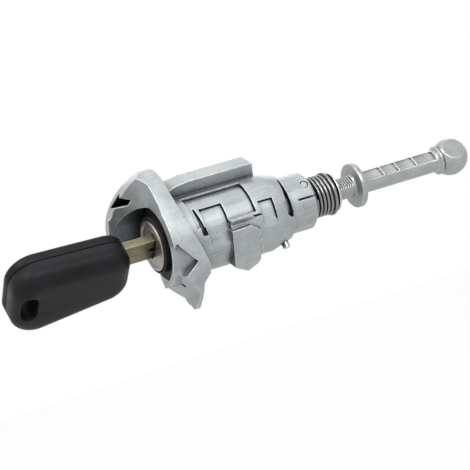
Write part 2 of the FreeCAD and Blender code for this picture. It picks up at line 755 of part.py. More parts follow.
def chip_span(gap):
    """The transponder's block behind the blade's root, grown by a gap."""
    end = -HEAD_GAP - BLADE_ROOT - 1.0
    y_span = (end - CHIP_WIDTH - gap, end + gap)
    x_span = (-CHIP_THICKNESS / 2 - gap, CHIP_THICKNESS / 2 + gap)
    z_low = -HEAD_BLADE_WIDTH / 2 + 7.0
    return block(x_span, y_span, (z_low - gap, z_low + CHIP_LENGTH + gap))


def head_shell(inner, outer, edge, is_round):
    """One moulded half of the key head, rounded or bevelled along its outer edge."""
    face = Part.Face(head_outline())
    low, high = min(inner, outer), max(inner, outer)
    face.translate(Vector(low, 0, 0))
    shell = face.extrude(Vector(high - low, 0, 0))
    rim = [e for e in shell.Edges if all(abs(v.X - outer) < 0.01 for v in e.Vertexes)]
    shell = shell.makeFillet(edge, rim) if is_round else shell.makeChamfer(edge, rim)
    shell = shell.cut([ring_hole(), blade_root_room(), chip_span(SEAT_GAP)])
    return leaned(shell, KEY_LEAN)


def seam_place():
    """The seam's offset from the blade's middle plane."""
    return (HEAD_BACK_THICKNESS - HEAD_FRONT_THICKNESS) / 2


def make_key_head_front():
    """The thicker shell, on the side that faces out."""
    inner = seam_place() + HEAD_SEAM_GAP
    return head_shell(inner, inner + HEAD_FRONT_THICKNESS, HEAD_FRONT_EDGE, True)


def make_key_head_back():
    """The thinner shell behind the seam."""
    inner = seam_place() - HEAD_SEAM_GAP
    return head_shell(inner, inner - HEAD_BACK_THICKNESS, HEAD_BACK_EDGE, False)


def make_transponder():
    """The small chip block in the head."""
    return leaned(chip_span(0), KEY_LEAN)


def save(name, shape):
    """Write one sub-part and say what was made."""
    shape.exportStep("parts/" + name + ".step")
    print(name, "solids", len(shape.Solids), "volume", round(shape.Volume, 1), "valid", shape.isValid())


os.makedirs("parts", exist_ok=True)
save("housing", make_housing())
save("face_seal", make_face_seal())
save("plug_cap", make_plug_cap())
save("plug", make_plug())
save("dust_shutter", make_dust_shutter())
save("shutter_pin", make_shutter_pin())
for number in range(len(WAFER_CUTS)):
    save("wafer_" + str(number + 1), make_wafer(number))
save("wafer_springs", make_wafer_springs())
save("drive_hub", make_drive_hub())
save("drive_pin", make_drive_pin())
save("drive_rod", make_drive_rod())
save("return_spring", make_return_spring())
save("spring_washer", make_spring_washer())
save("retaining_clip", make_retaining_clip())
save("neck_pin", make_neck_pin())
save("stop_pin", make_stop_pin())
save("key_blade", make_key_blade())
save("key_head_front", make_key_head_front())
save("key_head_back", make_key_head_back())
save("transponder", make_transponder())
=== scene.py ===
import math

import bmesh
import bpy
from mathutils import Matrix, Vector


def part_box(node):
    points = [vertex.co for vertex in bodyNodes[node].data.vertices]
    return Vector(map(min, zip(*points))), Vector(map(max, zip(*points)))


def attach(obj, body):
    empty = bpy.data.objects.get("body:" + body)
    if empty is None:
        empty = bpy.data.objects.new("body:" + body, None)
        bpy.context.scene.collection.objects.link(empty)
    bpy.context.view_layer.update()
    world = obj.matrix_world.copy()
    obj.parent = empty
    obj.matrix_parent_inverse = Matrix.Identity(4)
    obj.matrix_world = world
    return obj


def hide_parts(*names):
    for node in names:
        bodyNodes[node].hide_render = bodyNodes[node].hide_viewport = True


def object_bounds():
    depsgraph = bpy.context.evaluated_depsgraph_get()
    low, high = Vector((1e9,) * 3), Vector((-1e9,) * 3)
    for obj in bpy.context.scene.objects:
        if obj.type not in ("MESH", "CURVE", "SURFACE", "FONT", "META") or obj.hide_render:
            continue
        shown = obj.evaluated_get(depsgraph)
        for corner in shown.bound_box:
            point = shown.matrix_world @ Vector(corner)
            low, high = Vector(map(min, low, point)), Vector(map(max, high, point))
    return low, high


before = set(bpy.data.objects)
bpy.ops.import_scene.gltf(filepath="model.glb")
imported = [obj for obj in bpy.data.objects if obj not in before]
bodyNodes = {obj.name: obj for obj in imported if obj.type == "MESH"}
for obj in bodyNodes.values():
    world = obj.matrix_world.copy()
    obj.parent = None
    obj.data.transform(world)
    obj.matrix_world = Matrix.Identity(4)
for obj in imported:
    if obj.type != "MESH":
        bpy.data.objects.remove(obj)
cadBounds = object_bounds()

mm = 0.001  # meshes are made in millimetres and scaled once
keyLean = 56.0  # degrees that the key's width leans from +Z towards +X
print("frame loaded,", len(bodyNodes), "nodes")


def nodeBox(name):
    low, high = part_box(name)
    return Vector(low) / mm, Vector(high) / mm


capY = nodeBox("plug_cap")[0].y  # front face of the plug's cap


# Mesh helpers

def leaned(degrees):
    return Matrix.Rotation(math.radians(degrees), 4, "Y")


def looped(rings):  # a closed solid whose skin runs from ring to ring
    bm = bmesh.new()
    made = [[bm.verts.new(point) for point in ring] for ring in rings]
    for lower, upper in zip(made, made[1:]):
        for i in range(len(lower)):
            j = (i + 1) % len(lower)
            bm.faces.new((lower[i], lower[j], upper[j], upper[i]))
    bm.faces.new(list(reversed(made[0])))
    bm.faces.new(made[-1])
    return bm


def circlePoints(radius, steps):
    angles = [2 * math.pi * k / steps for k in range(steps)]
    return [(radius * math.cos(angle), radius * math.sin(angle)) for angle in angles]


def latheMesh(profile, steps):  # points of (y, radius) turned round the lock's axis
    return looped([[(across, y, up) for up, across in circlePoints(radius, steps)]
                   for y, radius in profile])


def blockMesh(xSpan, ySpan, zSpan):
    corners = [(xSpan[0], zSpan[0]), (xSpan[1], zSpan[0]), (xSpan[1], zSpan[1]), (xSpan[0], zSpan[1])]
    return looped([[(x, y, z) for x, z in corners] for y in ySpan])


def prismMesh(corners, push):
    near = [Vector(corner) for corner in corners]
    return looped([near, [corner + Vector(push) for corner in near]])


def arcThrough(first, middle, last, steps=14):  # points along the arc that three points fix
    (ax, ay), (bx, by), (cx, cy) = first, middle, last
    a, b, c = ax * ax + ay * ay, bx * bx + by * by, cx * cx + cy * cy
    area = 2 * (ax * (by - cy) + bx * (cy - ay) + cx * (ay - by))
    x = (a * (by - cy) + b * (cy - ay) + c * (ay - by)) / area
    y = (a * (cx - bx) + b * (ax - cx) + c * (bx - ax)) / area
    radius = math.hypot(ax - x, ay - y)
    turns = [math.atan2(q - y, p - x) for p, q in (first, middle, last)]
    sweep = sum((after - before + math.pi) % (2 * math.pi) - math.pi
                for before, after in zip(turns, turns[1:]))
    angles = [turns[0] + sweep * k / steps for k in range(steps + 1)]
    return [(x + radius * math.cos(angle), y + radius * math.sin(angle)) for angle in angles]


def sweptMesh(points, radius, sides):  # round wire along a path that winds round the axis
    rings = []
    for i, point in enumerate(points):
        ahead = (points[min(i + 1, len(points) - 1)] - points[max(i - 1, 0)]).normalized()
        out = Vector((point.x, 0, point.z)).normalized()
        out = (out - ahead * out.dot(ahead)).normalized()
        side = ahead.cross(out)
        rings.append([point + out * a + side * b for a, b in circlePoints(radius, sides)])
    return looped(rings)


def asObject(name, bm, turn=None):
    bmesh.ops.recalc_face_normals(bm, faces=bm.faces)
    mesh = bpy.data.meshes.new(name)
    bm.to_mesh(mesh)
    bm.free()
    if turn is not None:
        mesh.transform(turn)
    made = bpy.data.objects.new(name, mesh)
    bpy.context.scene.collection.objects.link(made)
    return made


def settle(made):  # the modifiers become the mesh
    bpy.context.view_layer.update()
    shaped = made.evaluated_get(bpy.context.evaluated_depsgraph_get())
    mesh = bpy.data.meshes.new_from_object(shaped)
    made.modifiers.clear()
    made.data = mesh


def carve(made, cutters, operation="DIFFERENCE"):
    for cutter in cutters:
        step = made.modifiers.new("carve", "BOOLEAN")
        step.operation = operation
        step.solver = "EXACT"
        step.object = cutter
    settle(made)
    for cutter in cutters:
        bpy.data.objects.remove(cutter)


def soften(made, width, segments=3, angle=30.0):
    step = made.modifiers.new("soften", "BEVEL")
    step.width = width
    step.segments = segments
    step.limit_method = "ANGLE"
    step.angle_limit = math.radians(angle)
    step.use_clamp_overlap = True
    settle(made)


def place(made, body, material, nodes, sharpAngle=35.0):
    made.data.transform(Matrix.Scale(mm, 4))
    for face in made.data.polygons:
        face.use_smooth = True
    made.data.set_sharp_from_angle(angle=math.radians(sharpAngle))
    made.data.materials.clear()
    made.data.materials.append(material)
    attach(made, body)
    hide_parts(*nodes)


# Shader helpers

def put(tree, kind, wires=None, **options):
    node = tree.nodes.new(kind)
    for option, value in options.items():
        setattr(node, option, value)
    for socket, value in (wires or {}).items():
        if isinstance(value, bpy.types.NodeSocket):
            tree.links.new(value, node.inputs[socket])
        else:
            node.inputs[socket].default_value = value
    return node


def math2(tree, operation, first, second):
    return put(tree, "ShaderNodeMath", {0: first, 1: second}, operation=operation).outputs[0]


def ramped(tree, value, low, high, toLow=0.0, toHigh=1.0):
    wires = {"Value": value, "From Min": low, "From Max": high, "To Min": toLow, "To Max": toHigh}
    return put(tree, "ShaderNodeMapRange", wires).outputs["Result"]


def mixed(tree, amount, first, second):
    return put(tree, "ShaderNodeMix", {0: amount, 6: first, 7: second}, data_type="RGBA").outputs[2]


def noise(tree, vector, scale, detail, rough=0.5):
    wires = {"Vector": vector, "Scale": scale, "Detail": detail, "Roughness": rough}
    return put(tree, "ShaderNodeTexNoise", wires).outputs["Fac"]


def newGroup(name, inputs, outputs):
    tree = bpy.data.node_groups.new(name, "ShaderNodeTree")
    for label, kind, value in inputs:
        socket = tree.interface.new_socket(name=label, in_out="INPUT", socket_type=kind)
        if value is not None:
            socket.default_value = value
    for label, kind in outputs:
        tree.interface.new_socket(name=label, in_out="OUTPUT", socket_type=kind)
    return tree, tree.nodes.new("NodeGroupInput").outputs, tree.nodes.new("NodeGroupOutput").inputs


def wired(tree, group, wires):
    return put(tree, "ShaderNodeGroup", wires, node_tree=group).outputs


floatKind = "NodeSocketFloat"
vectorKind = "NodeSocketVector"


def buildSurfaceGrain():  # the fine texture a mould or a tool leaves
    inputs = [("Vector", vectorKind, None), ("Grain Scale", floatKind, 2500.0),
              ("Patch Scale", floatKind, 220.0)]
    tree, given, out = newGroup("surface grain", inputs, [("Height", floatKind), ("Patches", floatKind)])
    fine = noise(tree, given["Vector"], given["Grain Scale"], detail=3.0, rough=0.6)
    patch = noise(tree, given["Vector"], given["Patch Scale"], detail=4.0, rough=0.55)
    height = math2(tree, "ADD", fine, math2(tree, "MULTIPLY", patch, 0.8))
    tree.links.new(height, out["Height"])
    tree.links.new(ramped(tree, patch, 0.32, 0.68), out["Patches"])
    return tree


def buildEdgeHighlight():  # a soft edge, and a mask for a painted highlight along the edges, broken up by noise
    inputs = [("Vector", vectorKind, None), ("Radius", floatKind, 0.0003), ("Breakup", floatKind, 900.0)]
    tree, given, out = newGroup("soft edge and highlight", inputs, [("Highlight", floatKind), ("Soft Normal", vectorKind)])
    softNormal = put(tree, "ShaderNodeBevel", {"Radius": given["Radius"]}, samples=6).outputs["Normal"]
    flat = put(tree, "ShaderNodeNewGeometry").outputs["Normal"]
    facing = put(tree, "ShaderNodeVectorMath", {0: softNormal, 1: flat}, operation="DOT_PRODUCT")
    edge = ramped(tree, facing.outputs["Value"], 0.997, 0.92)
    breakup = noise(tree, given["Vector"], given["Breakup"], detail=2.0)
    highlightMask = math2(tree, "MULTIPLY", edge, ramped(tree, breakup, 0.35, 0.6, 0.35, 1.0))
    tree.links.new(highlightMask, out["Highlight"])
    tree.links.new(softNormal, out["Soft Normal"])
    return tree


def buildRecessShade():  # painted shade: darker where ambient occlusion finds a recess, made uneven by a noise cloud
    inputs = [("Vector", vectorKind, None), ("Distance", floatKind, 0.003), ("Depth", floatKind, 0.6)]
    tree, given, out = newGroup("recess shade", inputs, [("Mask", floatKind)])
    opening = put(tree, "ShaderNodeAmbientOcclusion", {"Distance": given["Distance"]}, samples=8)
    cloud = noise(tree, given["Vector"], scale=700.0, detail=3.0)
    uneven = math2(tree, "ADD", opening.outputs["AO"], math2(tree, "MULTIPLY", cloud, 0.12))
    tree.links.new(ramped(tree, uneven, 0.92, given["Depth"]), out["Mask"])
    return tree


def buildCastPits():  # small dark pores of a casting, gathered in patches
    inputs = [("Vector", vectorKind, None), ("Scale", floatKind, 1100.0), ("Size", floatKind, 0.2)]
    tree, given, out = newGroup("cast pits", inputs, [("Mask", floatKind)])
    cells = put(tree, "ShaderNodeTexVoronoi", {"Vector": given["Vector"], "Scale": given["Scale"]})
    dots = math2(tree, "LESS_THAN", cells.outputs["Distance"], given["Size"])
    gathered = ramped(tree, noise(tree, given["Vector"], scale=260.0, detail=2.0), 0.5, 0.62)
    tree.links.new(math2(tree, "MULTIPLY", dots, gathered), out["Mask"])
    return tree


def buildFineScratches():  # thin marks that run along one direction
    inputs = [("Vector", vectorKind, None), ("Stretch", vectorKind, (4000.0, 60.0, 4000.0)),
              ("Amount", floatKind, 0.5)]
    tree, given, out = newGroup("fine scratches", inputs, [("Lines", floatKind)])
    drawn = put(tree, "ShaderNodeVectorMath", {0: given["Vector"], 1: given["Stretch"]},
                operation="MULTIPLY")
    mask = ramped(tree, noise(tree, drawn.outputs["Vector"], scale=1.0, detail=2.0), 0.45, 0.75)
    tree.links.new(math2(tree, "MULTIPLY", mask, given["Amount"]), out["Lines"])
    return tree


surfaceGrain = buildSurfaceGrain()
edgeHighlightGroup = buildEdgeHighlight()
recessShade = buildRecessShade()
castPits = buildCastPits()
fineScratches = buildFineScratches()


def startMaterial(name):
    material = bpy.data.materials.new(name)
    material.use_nodes = True
    tree = material.node_tree
    tree.nodes.clear()
    where = put(tree, "ShaderNodeTexCoord").outputs["Object"]
    return material, tree, where


def commonGroups(tree, where, look):  # grain, soft edges with a painted edge highlight, and painted shade in recesses
    grain = wired(tree, surfaceGrain, {"Vector": where, "Grain Scale": look["grainScale"],
                                       "Patch Scale": look["patchScale"]})
    edgeHighlight = wired(tree, edgeHighlightGroup, {"Vector": where, "Radius": look["edgeRadius"]})
    shade = wired(tree, recessShade, {"Vector": where, "Distance": look["recessReach"],
                                      "Depth": look["recessDepth"]})
    return grain, edgeHighlight, shade


def endMaterial(tree, look, colour, patches, height, softNormal, gloss):
    rough = ramped(tree, patches, 0.0, 1.0, look["roughness"][0], look["roughness"][1])
    bump = put(tree, "ShaderNodeBump", {"Strength": look["bump"], "Distance": look["bumpDepth"],
                                        "Height": height, "Normal": softNormal})
    surface = put(tree, "ShaderNodeBsdfPrincipled", {"Base Color": colour, "Roughness": rough,
                                                     "Normal": bump.outputs["Normal"], **gloss})
    put(tree, "ShaderNodeOutputMaterial", {"Surface": surface.outputs["BSDF"]})


def rgba(colour):
    return (*colour, 1.0)


def metalMaterial(name, look):
    material, tree, where = startMaterial(name)
    grain, edgeHighlight, shade = commonGroups(tree, where, look)
    hollow = wired(tree, recessShade, {"Vector": where, "Distance": look["hollowShadeReach"],
                                       "Depth": look["hollowShadeDepth"]})
    pits = wired(tree, castPits, {"Vector": where, "Scale": look["pitScale"], "Size": look["pitSize"]})
    drawn = wired(tree, fineScratches, {"Vector": where, "Stretch": look["scratchStretch"],
                                        "Amount": look["scratches"]})
    colour = mixed(tree, grain["Patches"], rgba(look["colour"]), rgba(look["paleColour"]))
    colour = mixed(tree, drawn["Lines"], colour, rgba(look["highlightAndScratchColour"]))
    # painted shade deep in hollows, such as inside the hood's mouth
    hollowShadeAmount = math2(tree, "MULTIPLY", hollow["Mask"], look["hollowShadeAmount"])
    colour = mixed(tree, hollowShadeAmount, colour, rgba(look["hollowShadeColour"]))
    pitAmount = math2(tree, "MULTIPLY", pits["Mask"], look["pitAmount"])
    colour = mixed(tree, pitAmount, colour, rgba(look["shadeAndPitColour"]))
    # painted highlight along the edges
    colour = mixed(tree, edgeHighlight["Highlight"], colour, rgba(look["highlightAndScratchColour"]))
    # painted shade in recesses and in the corners of the panels
    shadeAmount = math2(tree, "MULTIPLY", shade["Mask"], look["recessShadeAmount"])
    colour = mixed(tree, shadeAmount, colour, rgba(look["shadeAndPitColour"]))
    height = math2(tree, "ADD", grain["Height"], drawn["Lines"])
    endMaterial(tree, look, colour, grain["Patches"], height, edgeHighlight["Soft Normal"],
                {"Metallic": look["metallic"]})
    return material


zincLook = {
    "colour": (0.34, 0.37, 0.375),
    "paleColour": (0.46, 0.49, 0.49),
    # painted highlight on the edges, and also the colour of bright scratches
    "highlightAndScratchColour": (0.90, 0.93, 0.93),
    # painted shade in recesses, and also the colour of the casting's pits
    "shadeAndPitColour": (0.012, 0.014, 0.018),
    "recessReach": 0.0014,
    "recessDepth": 0.35,
    "recessShadeAmount": 0.95,
    # painted shade deep in hollows
    "hollowShadeColour": (0.03, 0.036, 0.043),
    "hollowShadeReach": 0.015,
    "hollowShadeDepth": 0.42,
    "hollowShadeAmount": 0.92,
    "pitScale": 1100.0,
    "pitSize": 0.2,
    "pitAmount": 0.6,
    "roughness": (0.4, 0.52),
    "metallic": 0.6,
    "grainScale": 2600.0,
    "patchScale": 160.0,
    "edgeRadius": 0.0004,
    "bump": 0.35,
    "bumpDepth": 0.00012,
    "scratchStretch": (1800.0, 90.0, 1800.0),
    "scratches": 0.12,
}
castZinc = metalMaterial("castZinc", zincLook)
rodZinc = metalMaterial("rodZinc", {
    **zincLook, "colour": (0.33, 0.35, 0.34), "paleColour": (0.42, 0.44, 0.43), "roughness": (0.28, 0.42),
    "recessReach": 0.0012, "hollowShadeAmount": 0.5, "pitAmount": 0.2, "bump": 0.25,
})
capSteel = metalMaterial("capSteel", {
    **zincLook, "colour": (0.30, 0.275, 0.235), "paleColour": (0.40, 0.375, 0.33),
    "highlightAndScratchColour": (0.85, 0.82, 0.76), "shadeAndPitColour": (0.05, 0.04, 0.035), "roughness": (0.25, 0.38),
    "metallic": 0.8, "recessReach": 0.0015, "hollowShadeAmount": 0.4, "pitAmount": 0.1, "bump": 0.15,
    "scratches": 0.3, "edgeRadius": 0.0002, "scratchStretch": (300.0, 300.0, 5000.0),
})
bladeBrass = metalMaterial("bladeBrass", {
    **zincLook, "colour": (0.13, 0.12, 0.065), "paleColour": (0.24, 0.215, 0.12),
    "highlightAndScratchColour": (0.95, 0.86, 0.60), "shadeAndPitColour": (0.06, 0.05, 0.03), "roughness": (0.25, 0.45),
    "metallic": 0.75, "recessReach": 0.001, "edgeRadius": 0.00025, "scratches": 0.35, "bump": 0.2,
    "scratchStretch": (5000.0, 150.0, 5000.0),
})
springSteel = metalMaterial("springSteel", {
    **zincLook, "colour": (0.20, 0.20, 0.195), "paleColour": (0.34, 0.335, 0.33),
    "highlightAndScratchColour": (0.7, 0.7, 0.7), "shadeAndPitColour": (0.01, 0.01, 0.01), "roughness": (0.18, 0.32),
    "metallic": 0.9, "recessReach": 0.001, "edgeRadius": 0.0001, "bump": 0.1,
})
plainSteel = metalMaterial("plainSteel", {
    **zincLook, "colour": (0.45, 0.46, 0.46), "paleColour": (0.6, 0.6, 0.6), "roughness": (0.22, 0.35),
    "metallic": 0.9, "bump": 0.1,
})
waferBrass = metalMaterial("waferBrass", {
    **zincLook, "colour": (0.55, 0.42, 0.18), "paleColour": (0.66, 0.52, 0.26),
    "highlightAndScratchColour": (0.9, 0.8, 0.5), "metallic": 0.9, "bump": 0.1,
})


def mouldedMaterial(name, look):
    material, tree, where = startMaterial(name)
    grain, edgeHighlight, shade = commonGroups(tree, where, look)
    colour = mixed(tree, grain["Patches"], rgba(look["colour"]), rgba(look["paleColour"]))
    # painted sheen along the edges
    edgeSheenAmount = math2(tree, "MULTIPLY", edgeHighlight["Highlight"], look["edgeSheen"])
    colour = mixed(tree, edgeSheenAmount, colour, rgba(look["highlightAndScratchColour"]))
    # painted shade in recesses
    colour = mixed(tree, shade["Mask"], colour, rgba(look["shadeAndPitColour"]))
    endMaterial(tree, look, colour, grain["Patches"], grain["Height"], edgeHighlight["Soft Normal"],
                {"Specular IOR Level": look["specular"]})
    return material


plasticLook = {
    "colour": (0.009, 0.009, 0.010),
    "paleColour": (0.015, 0.014, 0.017),
    # painted sheen on the edges
    "highlightAndScratchColour": (0.05, 0.05, 0.052),
    # painted shade in recesses
    "shadeAndPitColour": (0.004, 0.004, 0.004),
    "recessReach": 0.002,
    "recessDepth": 0.3,
    "edgeSheen": 0.5,
    "grainScale": 6500.0,
    "patchScale": 90.0,
    "edgeRadius": 0.0003,
    "roughness": (0.38, 0.5),
    "bump": 0.3,
    "bumpDepth": 0.00006,
    "specular": 0.15,
}
headPlastic = mouldedMaterial("headPlastic", plasticLook)
sealRubber = mouldedMaterial("sealRubber", {
    **plasticLook, "colour": (0.008, 0.008, 0.009), "roughness": (0.5, 0.7), "specular": 0.3,
    "grainScale": 4000.0,
})
chipBlock = mouldedMaterial("chipBlock", {
    **plasticLook, "colour": (0.03, 0.03, 0.03), "paleColour": (0.05, 0.05, 0.05),
})
print("materials made")


# Housing: one die casting with flange, hood, barrel, guide rib, panels, lug and neck

housingShape = {  # places along the axis are distances behind the cap's face
    "shoulder": 45.0,
    "barrel": 12.4,
    "barrelStart": 4.0,
    "taperStart": 38.5,
    "rear": 10.6,
    "neck": 9.2,
    "neckStraight": 53.8,
    "neckEnd": 54.8,
    "neckTip": 8.2,
    "bore": 7.08,
    "capSeat": 8.2,
    "capDepth": 4.9,
    "mouth": 12.2,
    "mouthFloor": 5.0,
    "mouthWallEnd": 8.0,
    "hoodWall": 1.7,
    "hoodReach": 8.2,
    "hoodLean": -57.0,
    "hoodStart": 2.5,
    "lobeMiddle": (-3.0, 9.3),
    "lobeTop": 13.2,
    "hoodFoot": (3.0, -3.5),
    "openSide": (189.0, 262.0),
    "openDepth": 4.4,
    "setBack": 1.2,
    "earReach": 23.19,
    "crown": (4.0, 0.8),  # the upper ear's round end: its half width, and its drop below the reach
    "earSide": (5.6, 17.0),  # this, the brow and the hip: inset from the widest place, and z
    "brow": (2.0, 7.8),
    "hip": (1.6, -8.5),
    "widest": -0.8,
    "earWaist": (10.0, -15.4),
    "halfWidth": 15.5,
    "farWidth": 12.9,
    "lowReach": 22.7,
    "lowTip": (2.6, 1.2),
    "sweepStart": 5.0,  # the upper ear sweeps back from the hood's front through a middle point
    "sweepMiddle": (3.2, 16.6),
    "sweepEnd": 4.6,
    "earSweep": 37.0,
    "earBreak": 8.5,
    "curlStart": 18.4,
    "curl": 0.9,
    "earTip": 1.6,
    "flangeBack": [(6.4, 13.0), (8.6, 0.0), (11.8, -10.0), (11.8, -13.0), (9.6, -15.6)],
    "steps": 128,
    "edge": 0.18,
    "browEdge": 1.5,
}
spare = 1.0  # a cutter goes this far past what it cuts
far = 40.0  # and this far where nothing else stands


def behind(distance):
    return capY + distance


def sidePrism(outline, half):  # outline of (behind the face, z), pushed across
    return prismMesh([(-half, behind(y), z) for y, z in outline], (2 * half, 0, 0))


def crossPrism(outline, start, end):  # outline of (x, z), pushed along the axis
    return prismMesh([(x, behind(start), z) for x, z in outline], (0, end - start, 0))


def axisRod(radius, start, end):
    return latheMesh([(behind(start), radius), (behind(end), radius)], housingShape["steps"])


def slotRing(angle, start, end, inner, outer):  # section of a cut into the barrel, at one angle
    corners = ((start, inner), (start, outer), (end, outer), (end, inner))
    return [(r * math.sin(angle), behind(y), r * math.cos(angle)) for y, r in corners]


def sectorMesh(outer, inner, span, arc, step=2.5):  # part of a tube, counted from +Z towards +X
    count = max(2, math.ceil((arc[1] - arc[0]) / step))
    angles = [math.radians(arc[0] + (arc[1] - arc[0]) * i / count) for i in range(count + 1)]
    return looped([slotRing(angle, *span, inner, outer) for angle in angles])


def taperedSlot(outer, inner, stations, step=3.0):  # its width changes from one lean to the next
    rings = []
    for here, there in zip(stations, stations[1:]):
        count = max(1, math.ceil((there[0] - here[0]) / step))
        for k in range(count + (there is stations[-1])):
            lean, start, end = [a + (b - a) * k / count for a, b in zip(here, there)]
            rings.append(slotRing(math.radians(lean), start, end, inner, outer))
    return looped(rings)


def radialRod(radius, station, lean, inner, outer, sides=32):  # stands out from the axis
    corners = [(a, behind(station) + b, inner) for a, b in circlePoints(radius, sides)]
    return asObject("radialRod", prismMesh(corners, (0, 0, outer - inner)), leaned(lean))


def flangeLeaf(shape):  # the flange's outline of (x, z), seen along the axis
    reach, low, wide = shape["earReach"], shape["lowReach"], shape["halfWidth"]
    crown = (shape["crown"][0], reach - shape["crown"][1])
    tip = (shape["lowTip"][0], shape["lowTip"][1] - low)
    earSide = (wide - shape["earSide"][0], shape["earSide"][1])
    brow = (wide - shape["brow"][0], shape["brow"][1])

    def flank(half):
        hip = (half - shape["hip"][0], shape["hip"][1])
        points = arcThrough(crown, earSide, brow)[:-1]
        points += arcThrough(brow, (half, shape["widest"]), hip)[:-1]
        return points + arcThrough(hip, shape["earWaist"], tip)[:-1]

    farFlank = [(-x, z) for x, z in flank(shape["farWidth"])]
    foot = arcThrough(tip, (0, -low), (-tip[0], tip[1]), steps=6)
    crest = arcThrough((-crown[0], crown[1]), (0, reach), crown, steps=8)[:-1]
    return flank(wide) + foot + farFlank[:0:-1] + crest


def flangeSide(shape):  # the flange's side profile of (behind the cap's face, z)
    reach = shape["earReach"] + spare / 2
    front = -shape["hoodReach"]
    sweep = math.tan(math.radians(shape["earSweep"]))
    curlFront = shape["setBack"] + (shape["curlStart"] - shape["earBreak"]) * sweep
    tipFront = curlFront - shape["curl"]
    back, height = shape["sweepMiddle"]
    outline = arcThrough((front, shape["sweepStart"]), (front + back, height), (shape["sweepEnd"], reach))
    outline += [(shape["flangeBack"][0][0], reach), *shape["flangeBack"]]
    outline += [(tipFront + shape["earTip"], -reach), (tipFront, -reach), (curlFront, -shape["curlStart"]),
                (shape["setBack"], -shape["earBreak"]), (front, -shape["earBreak"])]
    return outline


def hoodCutters(shape):  # what is taken off in front, all but the lobe that guards the key
    front = -shape["hoodReach"] - spare
    start = (shape["setBack"], shape["hoodStart"])
    lobe = arcThrough(start, shape["lobeMiddle"], (front, shape["lobeTop"]), steps=20)
    lobe += [(front, -far), (shape["setBack"], -far)]
    top, low = shape["hoodFoot"]
    foot = [(front, -far), (shape["setBack"], -far), (shape["setBack"], low), (front, top)]
    return [asObject("lobeCutter", sidePrism(lobe, far), leaned(shape["hoodLean"])),
            asObject("footCutter", sidePrism(foot, far)),
            asObject("openSide", sectorMesh(far, spare, (front, shape["openDepth"]), shape["openSide"]))]


ribShape = {
    "lean": 25.0,
    "width": 7.2,
    "side": -2.7,
    "root": 4.0,
    "top": 16.3,
    "start": 7.0,
    "end": 38.6,
    "nose": [(0.0, 2.6), (4.0, 0.7), (9.0, 0.0)],  # behind the rib's start, and below its top
}


def guideRib(shape):
    outline = [(shape["start"], shape["root"])]
    outline += [(shape["start"] + back, shape["top"] - drop) for back, drop in shape["nose"]]
    outline += [(shape["end"], shape["top"]), (shape["end"], shape["root"])]
    side = shape["side"] - shape["width"]
    rib = prismMesh([(side, behind(y), z) for y, z in outline], (shape["width"], 0, 0))
    return asObject("guideRib", rib, leaned(shape["lean"]))


panelShape = {
    "panels": [  # one that runs out goes on as a flat below its lower lean
        {"span": (11.4, 31.8), "arc": (27.0, 86.0), "depth": 0.9, "lineFoot": 86.0, "runsOut": False},
        {"span": (14.6, 22.4), "arc": (55.0, 90.0), "depth": 1.7, "lineFoot": 90.0, "runsOut": True},
        {"span": (33.3, 38.4), "arc": (72.0, 90.0), "depth": 0.9, "lineFoot": 104.0, "runsOut": True},
    ],
    "clear": 1.5,
    "overlap": 0.01,
    "lineWidth": 0.34,
    "lineDepth": 0.55,
    "wedge": [(52.0, 12.7, 13.3), (99.0, 12.6, 14.5)],  # lean, start and end
    "wedgeDepth": 2.3,
    "clipSlot": [(38.0, 44.0, 44.6), (66.0, 43.4, 44.7), (80.0, 42.9, 44.8), (83.0, 42.3, 44.8),
                 (104.0, 42.5, 44.9), (112.0, 43.9, 44.7)],
    "clipSpan": (43.4, 44.7),
    "clipGroove": (9.2, 6.0),
}


def sidePanels(shape, barrel):
    outer = barrel + shape["clear"]
    cutters = []
    for panel in shape["panels"]:
        floor = barrel - panel["depth"]
        cutters.append(sectorMesh(outer, floor, panel["span"], panel["arc"]))
        if panel["runsOut"]:
            length = [behind(y) for y in panel["span"]]
            cutters.append(blockMesh((floor, outer), length, (-outer, shape["overlap"])))
    cutters.append(taperedSlot(outer, barrel - shape["wedgeDepth"], shape["wedge"]))
    return [asObject("panelCutter", cutter) for cutter in cutters]


def panelLines(shape, barrel):  # the sharp line at the foot of each panel's upper and rear walls
    outer = barrel + shape["clear"]
    turn = math.degrees(shape["lineWidth"] / barrel)
    cutters = []
    for panel in shape["panels"]:
        start, end = panel["span"]
        edge = panel["arc"][0]
        inner = barrel - panel["depth"] - shape["lineDepth"]
        cutters.append(sectorMesh(outer, inner, (start, end), (edge, edge + turn)))
        cutters.append(sectorMesh(outer, inner, (end - shape["lineWidth"], end), (edge, panel["lineFoot"])))
    return [asObject("panelLine", cutter) for cutter in cutters]


lugShape = {
    "lean": 118.0,
    "face": 13.4,
    "root": 7.4,
    "outline": [(21.8, 3.6), (28.4, 3.9), (32.0, 1.2), (30.9, -0.6), (32.4, -2.6), (32.2, -6.4),
                (29.6, -9.4), (26.0, -11.0), (21.8, -8.8)],
    "step": (30.7, 34.7),  # the rear strip that lies lower than the face
    "stepSide": (1.0, 14.0),
    "stepDepth": 0.9,
    "lipLean": 97.0,
    "lip": [(22.4, 1.9), (28.8, 2.3), (32.8, -0.6), (31.4, -2.4), (28.2, -0.5), (22.6, -0.9)],
    "lipFlat": 1.6,
    "lipBevel": 38.0,
}


def lugBlock(shape, outline):
    corners = [(-z, behind(y), shape["root"]) for y, z in outline]
    return prismMesh(corners, (0, 0, shape["face"] - shape["root"]))


def barrelLug(shape):
    turn = leaned(shape["lean"])
    lug = asObject("lug", lugBlock(shape, shape["outline"]), turn)
    depth = (shape["face"] - shape["stepDepth"], shape["face"] + 2 * spare)
    strip = blockMesh(shape["stepSide"], [behind(y) for y in shape["step"]], depth)
    carve(lug, [asObject("lugStep", strip, turn)])
    return lug


